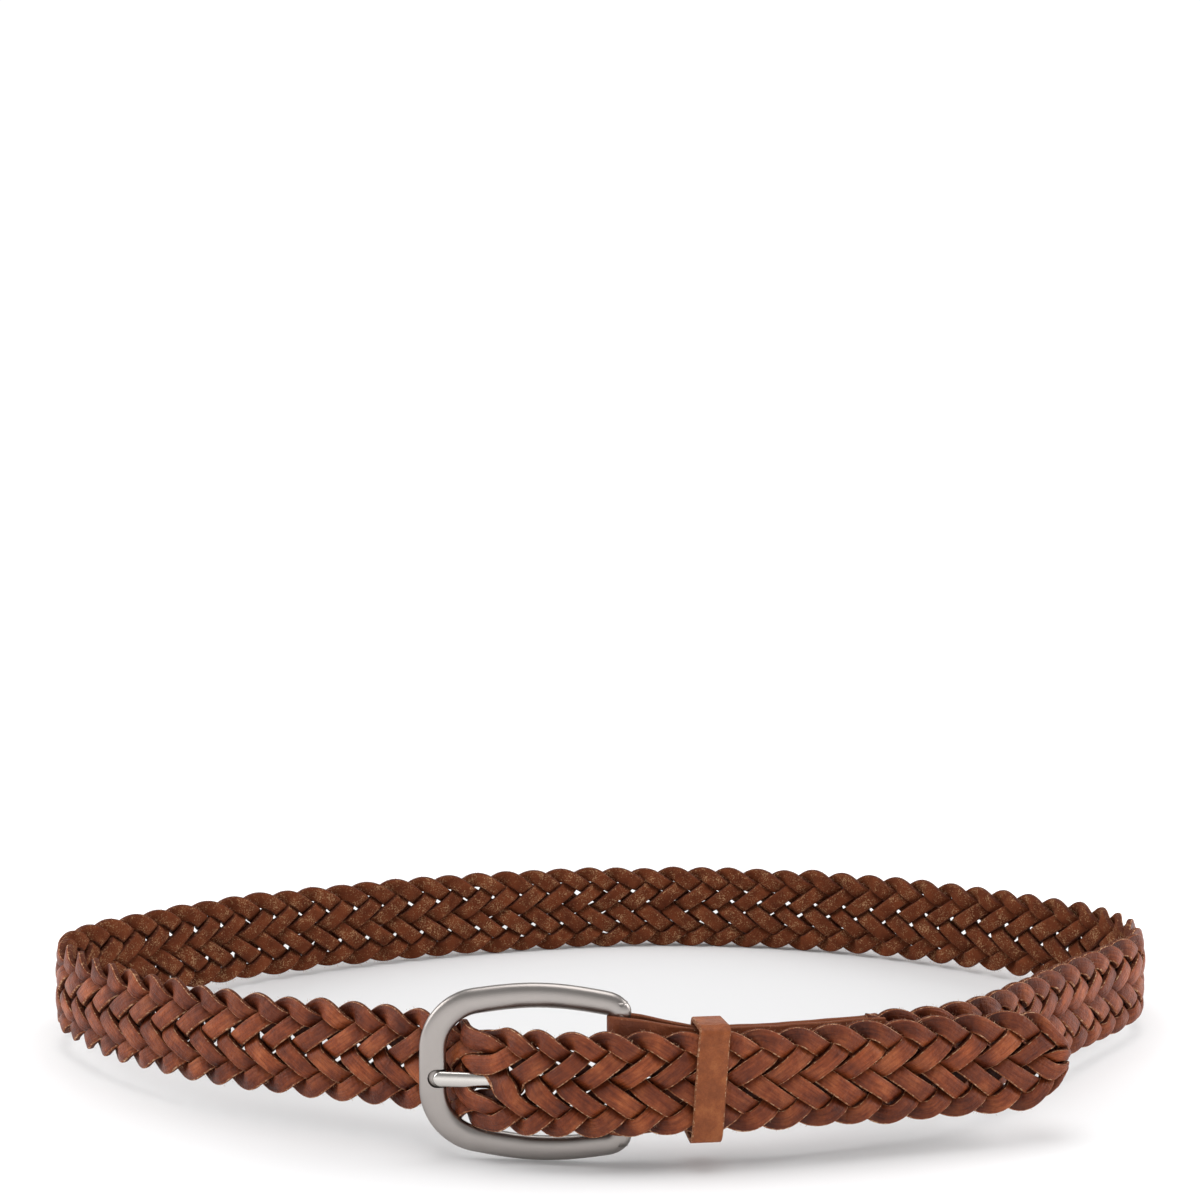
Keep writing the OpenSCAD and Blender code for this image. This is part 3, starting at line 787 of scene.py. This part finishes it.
def build_buckle():
    """The cast frame, swept along its middle line with a flatter section at the far bar, and its bar."""
    rings = []
    path = buckle_path()
    ends = 5                                                # rings over which a rail's end narrows
    for i, (x, z, nx, nz, half, flat) in enumerate(path):
        section = superellipse(half, FRAME_T / 2, 2.25 + 1.6 * flat, 40)
        section[:, 1] = np.where(section[:, 1] > 0, section[:, 1] * (0.9 + 0.1 * flat), section[:, 1])
        near_end = min(i, len(path) - 1 - i)
        if near_end < ends:
            section = section * (1 - (1 - near_end / ends) ** 2.2 * 0.5)
        across, out = section.T
        rings.append(np.stack([x + across * nx, out, BUCKLE_MID + z + across * nz], -1))
    rings = in_buckle(np.array(rings))
    frame_obj = tube(rings, "buckle_frame_metal", ["satin"], body="buckle", node="buckle_frame")
    carve(frame_obj, notch_cutter())
    sharp_by_angle(frame_obj, 35)
    bevel = frame_obj.modifiers.new("soft_edges", "BEVEL")
    bevel.width = 0.00022
    bevel.segments = 3
    bevel.limit_method = "ANGLE"
    bevel.angle_limit = math.radians(35)
    reach = BUCKLE_H / 2 - RAIL + 2.2
    ring = superellipse(BAR_R, BAR_R, 2, 28)
    bar = np.array([np.stack([ring[:, 0], ring[:, 1], 0 * ring[:, 0] + BUCKLE_MID + z], -1)
                    for z in np.linspace(-reach, reach, 24)])
    tube(in_buckle(bar), "buckle_bar_metal", ["satin"], body="buckle")


def notch_cutter():
    """Long slot with a rounded end and floor, cut into the front of the far bar."""
    floor_y = -FRAME_T / 2 + NOTCH_DEPTH
    rim = []
    half = NOTCH_W / 2
    for t in np.linspace(90, 270, 25):
        r = math.radians(t)
        rim.append((NOTCH_END + half * math.cos(r), half * math.sin(r)))
    rim += [(NOTCH_END + 14, -half), (NOTCH_END + 14, half)]
    rim = np.array(rim)
    levels = [(-FRAME_T / 2 - 2, 1.0), (floor_y - 0.7, 1.0), (floor_y - 0.3, 0.95), (floor_y - 0.05, 0.82),
              (floor_y, 0.62)]
    rings = []
    for y, scale in levels:
        x = np.where(rim[:, 0] < NOTCH_END, NOTCH_END + (rim[:, 0] - NOTCH_END) * scale, rim[:, 0])
        rings.append(np.stack([x, np.full(len(rim), y), PRONG_Z + rim[:, 1] * scale], -1))
    rings = in_buckle(np.array(rings))
    k, m = rings.shape[:2]
    quads, _ = sweep_faces(k, m)
    faces = [list(f) for f in quads] + [list(range(m)), [(k - 1) * m + i for i in range(m)][::-1]]
    cutter = mesh_object("notch_cutter", rings.reshape(-1, 3), faces, ["satin"])
    tidy_normals(cutter)
    return cutter


def build_prong():
    """The prong lies in its notch, goes through the braid and loops round the bar."""
    y_mid = PRONG_BACK - PRONG_T / 2
    loop_t = 1.5                                        # thickness of the loop's strip
    loop_r = BAR_R + BAR_PLAY + loop_t / 2
    from_x = -8                                         # where the prong starts to bend into its loop
    pts, size = [], []
    tip = PRONG_END - PRONG_W / 2
    for t in np.linspace(0, 1, 9):                      # rounded end
        d = 1 - math.cos(t * math.pi / 2)
        pts.append((tip + d * PRONG_W / 2, y_mid))
        size.append(max(0.06, math.sin(t * math.pi / 2)))
    for x in np.linspace(PRONG_END + 2, from_x, 26):
        bow = 0.35 * math.sin(math.pi * (x - PRONG_END) / (from_x - PRONG_END))
        pts.append((x, y_mid - bow))
        size.append(1.0)
    bend_from = len(pts)
    for t in np.linspace(0.12, 1, 8):
        pts.append((from_x * (1 - t), y_mid + (-loop_r - y_mid) * smooth(t)))
        size.append(1.0)
    loop_from = len(pts)
    for t in np.linspace(12, 285, 30):
        r = math.radians(t)
        pts.append((loop_r * math.sin(r), -loop_r * math.cos(r)))
        size.append(1.0)
    pts = np.array(pts)
    tangent = np.gradient(pts, axis=0)
    tangent /= np.linalg.norm(tangent, axis=1)[:, None]
    bent = np.clip(1 - pts[:, 0] / from_x, 0, 1)
    thick = np.maximum(loop_t, PRONG_T - (PRONG_T - loop_t) * bent)
    thick[:bend_from + 1] = PRONG_T
    thick[loop_from:] = loop_t
    rings = []
    for p, t, k, h in zip(pts, tangent, size, thick):
        across, out = superellipse(PRONG_W / 2 * k, h / 2 * min(1, 0.35 + 0.65 * k), 2.5, 24).T
        rings.append(np.stack([p[0] + out * t[1], p[1] - out * t[0], PRONG_Z + across], -1))
    tube(in_buckle(np.array(rings)), "prong_metal", ["polished"], body="prong", node="prong")


def chape_line():
    """Middle line of the chape's leather: the front layer, the fold round the bar and the back layer."""
    joined = CHAPE_T / 2 + 0.2
    fold_r = BAR_R + BAR_PLAY + CHAPE_T / 2
    bx, by = on_arc(CHAPE_R, BAR_PHI)
    join_u = math.radians(8) * CHAPE_R

    def layer(side):
        line = []
        for u in np.linspace(CHAPE_LEN, 12, 84):
            w = joined + 1.55 * smooth((u - CHAPE_SPLAY) / (CHAPE_LEN + 0.5 - CHAPE_SPLAY))
            w = w + (fold_r - joined) * (1 - smooth((u - 6) / (join_u - 6)))
            x, y = on_belt(u, side * w)
            line.append((float(x), float(y)))
        return line

    front, back = layer(1), layer(-1)
    fold = []
    for t in np.linspace(8, 172, 22):
        r = math.radians(t)
        a = math.radians(BAR_PHI)
        fold.append((bx + fold_r * math.sin(a - r), by - fold_r * math.cos(a - r)))
    return np.array(front + fold + back[::-1])


def build_chape():
    """The folded strip, flared at the fold, with a slot for the prong."""
    line = chape_line()
    tangent = np.gradient(line, axis=0)
    tangent /= np.linalg.norm(tangent, axis=1)[:, None]
    normal = np.stack([-tangent[:, 1], tangent[:, 0]], -1)
    if np.mean(np.sum((line[:20] - on_arc(CHAPE_R - 30, 12)) * normal[:20], 1)) < 0:
        normal = -normal                                    # the grain side is the outside of the fold
    profile = np.array(rounded_profile(CHAPE_W, CHAPE_T, 0.42))
    bar_x = on_arc(CHAPE_R, BAR_PHI)[0]
    flare = 1 - np.clip((line[:, 0] - bar_x - 1) / FLARE, 0, 1)
    flare = 0.75 * flare + 0.25 * smooth(flare)
    centre = STRAP_MID + (BUCKLE_MID - STRAP_MID) * flare
    centre = centre + smooth_noise(7, 30, np.linspace(0, 1, len(line)), 0.12)
    widen = 1 + (FOLD_W / CHAPE_W - 1) * flare
    rings = [np.stack([p[0] + profile[:, 1] * m[0], p[1] + profile[:, 1] * m[1], c + w * profile[:, 0]], -1)
             for p, m, c, w in zip(line, normal, centre, widen)]
    sides = strip_sides(profile, CHAPE_W)
    chape = tube(np.array(rings), "chape_leather", ["chape", "chape_suede", "chape_edge"], sides,
                 body="strap", node="chape")
    carve(chape, slot_cutter())
    sharp_by_angle(chape, 40)


def slot_cutter():
    """The slot in the fold that the prong's loop sits in."""
    bx, by = on_arc(CHAPE_R, BAR_PHI)
    half = (PRONG_W + 1) / 2
    ring = superellipse(9.5, half, 6, 32)
    rings = np.array([np.stack([bx - 0.5 + ring[:, 0], 0 * ring[:, 0] + by + y, PRONG_Z + ring[:, 1]], -1)
                      for y in (-10, 10)])
    quads, _ = sweep_faces(2, 32)
    faces = [list(f) for f in quads] + [list(range(32)), [32 + i for i in range(32)][::-1]]
    cutter = mesh_object("slot_cutter", rings.reshape(-1, 3), faces, ["chape_edge"])
    tidy_normals(cutter)
    return cutter


def build_keeper():
    """A band with soft corners round the chape and the tip, leaning a little, butted behind the chape."""
    r0, r1 = KEEPER_IN - KEEPER_T / 2, KEEPER_OUT + KEEPER_T / 2
    z0, z1 = -KEEPER_PLAY - KEEPER_T / 2, STRAP_W + KEEPER_PLAY + KEEPER_T / 2
    soft = KEEPER_SOFT
    line = []
    corners = ((r0 + soft, z1 - soft, 180, 90), (r1 - soft, z1 - soft, 90, 0),
               (r1 - soft, z0 + soft, 0, -90), (r0 + soft, z0 + soft, -90, -180))
    seam = (z0 + z1) / 2
    start = np.linspace(seam + 0.06, z1 - soft, 12)[:-1]
    line += [(r0, z) for z in start]
    for i, (cr, cz, a0, a1) in enumerate(corners):
        for t in np.linspace(a0, a1, 10):
            a = math.radians(t)
            line.append((cr + soft * math.cos(a), cz + soft * math.sin(a)))
        if i == 1:
            for z in np.linspace(z1 - soft, z0 + soft, 16)[1:-1]:
                line.append((r1 + 0.35 * math.sin(math.pi * (z - z0) / (z1 - z0)) - 0.05, z))
        elif i == 0 or i == 2:
            a, b = (r0 + soft, r1 - soft) if i == 0 else (r1 - soft, r0 + soft)
            zz = z1 if i == 0 else z0
            line += [(r, zz) for r in np.linspace(a, b, 6)[1:-1]]
    line += [(r0, z) for z in np.linspace(z0 + soft, seam - 0.06, 12)[1:]]
    line = np.array(line)
    tangent = np.gradient(line, axis=0)
    tangent /= np.linalg.norm(tangent, axis=1)[:, None]
    normal = np.stack([-tangent[:, 1], tangent[:, 0]], -1)
    normal *= np.sign(np.sum((line - line.mean(0)) * normal, 1).mean())
    profile = np.array(rounded_profile(KEEPER_W, KEEPER_T, 0.38))
    jitter = smooth_noise(11, 14, np.linspace(0, 1, len(line)), 0.10)
    rings = []
    for (r, z), m, k in zip(line, normal, jitter):
        z = z - KEEPER_DROOP * (r1 - r) / (r1 - r0) * smooth((z - seam) / (z1 - seam))
        crown = 1 - 0.06 * (profile[:, 0] / (KEEPER_W / 2)) ** 2
        rr = r + profile[:, 1] * crown * m[0]
        zz = z + profile[:, 1] * crown * m[1]
        along = profile[:, 0] + k + (zz - seam) * math.tan(math.radians(KEEPER_LEAN))
        phi = math.radians(KEEPER_PHI) + along / TIP_R
        rings.append(np.stack([rr * np.sin(phi), CENTRE_Y - rr * np.cos(phi), zz], -1))
    sides = strip_sides(profile, KEEPER_W)
    tube(np.array(rings), "keeper_leather", ["keeper", "keeper_suede", "keeper_edge"], sides,
         body="keeper", node="keeper")


for lace_index in range(LACES):
    build_lace(lace_index)
build_fuzz()
build_buckle()
build_prong()
build_chape()
build_keeper()

for node, key in (("chape_thread", "thread"), ("keeper_staple", "polished")):
    obj = frame["nodes"][node]
    obj.data.materials.clear()
    obj.data.materials.append(MATS[key])


# ---------------------------------------------------------------- stage

CAMERA_BACK = 693.0         # distance of the camera in front of the strap's front
CAMERA_UP = 210.0
CAMERA_PITCH = 4.7          # degrees down, against the belt's own plane
LENS = 75.0


def make_camera():
    data = bpy.data.cameras.new("camera")
    data.lens = LENS
    data.sensor_width = 36
    data.clip_start = 0.01
    cam = bpy.data.objects.new("camera", data)
    bpy.context.scene.collection.objects.link(cam)
    place = to_row([0, -CAMERA_BACK, CAMERA_UP])
    pitch = math.radians(CAMERA_PITCH)
    ahead = Vector(LEAN @ np.array([0, math.cos(pitch), -math.sin(pitch)]))
    cam.matrix_world = Matrix.Translation(Vector(place)) @ ahead.to_track_quat("-Z", "Y").to_matrix().to_4x4()
    bpy.context.scene.camera = cam


def area_light(name, place, target, size, power, colour=(1, 1, 1)):
    data = bpy.data.lights.new(name, "AREA")
    data.shape = "DISK"
    data.size = size
    data.energy = power
    data.color = colour
    obj = bpy.data.objects.new(name, data)
    bpy.context.scene.collection.objects.link(obj)
    obj.location = place
    obj.rotation_euler = (Vector(target) - Vector(place)).to_track_quat("-Z", "Y").to_euler()


def map_range(nodes, links, value, from_min, from_max, to_min, to_max):
    node = nodes.new("ShaderNodeMapRange")
    node.interpolation_type = "SMOOTHSTEP"
    numbers = (("From Min", from_min), ("From Max", from_max), ("To Min", to_min), ("To Max", to_max))
    for name, number in numbers:
        node.inputs[name].default_value = number
    links.new(value, node.inputs["Value"])
    return node.outputs["Result"]


def make_floor():
    """A pale floor with a painted glow that brightens it to white away from the belt and leaves painted shade
    round the belt, as under a studio's light tent.
    """
    mesh = bpy.data.meshes.new("floor")
    s = 9.0
    mesh.from_pydata([(-s, -s, 0), (s, -s, 0), (s, s, 0), (-s, s, 0)], [], [(0, 1, 2, 3)])
    floor = bpy.data.objects.new("floor", mesh)
    bpy.context.scene.collection.objects.link(floor)
    mat, nodes, links, shader = node_material("pale_floor")
    shader.inputs["Base Color"].default_value = (0.70, 0.70, 0.705, 1)
    shader.inputs["Roughness"].default_value = 0.8
    shader.inputs["Specular IOR Level"].default_value = 0.1
    shader.inputs["Emission Color"].default_value = (1, 1, 1, 1)
    reach = nodes.new("ShaderNodeVectorMath")
    reach.operation = "LENGTH"
    moved = nodes.new("ShaderNodeVectorMath")
    moved.operation = "SUBTRACT"
    moved.inputs[1].default_value = (0.0, 0.03, 0.0)
    links.new(nodes.new("ShaderNodeTexCoord").outputs["Object"], moved.inputs[0])
    links.new(moved.outputs["Vector"], reach.inputs[0])
    # painted glow: the floor emits more light the farther it is from the belt, which leaves painted shade
    # near the belt
    painted_glow = map_range(nodes, links, reach.outputs["Value"], 0.11, 0.34, 0.03, 0.82)
    links.new(painted_glow, shader.inputs["Emission Strength"])
    mesh.materials.append(mat)


def make_world():
    """White at the horizon, dimmer overhead, so that the softboxes shape the light."""
    world = bpy.data.worlds.new("studio")
    bpy.context.scene.world = world
    world.use_nodes = True
    nodes, links = world.node_tree.nodes, world.node_tree.links
    background = nodes["Background"]
    background.inputs["Color"].default_value = (1, 1, 1, 1)
    parts = nodes.new("ShaderNodeSeparateXYZ")
    links.new(nodes.new("ShaderNodeTexCoord").outputs["Generated"], parts.inputs["Vector"])
    strength = map_range(nodes, links, parts.outputs["Z"], 0.12, 0.30, 1.06, 0.42)
    links.new(strength, background.inputs["Strength"])


def make_stage():
    make_floor()
    make_world()
    area_light("top", (0.0, -0.10, 1.25), (0, 0, 0.02), 1.1, 9.0)
    area_light("left", (-1.15, -0.10, 0.60), (0, 0, 0.02), 0.8, 7.0)
    area_light("right", (1.15, -0.05, 0.60), (0, 0, 0.02), 0.8, 8.0)


make_camera()
make_stage()
bpy.context.scene.view_settings.view_transform = "Standard"
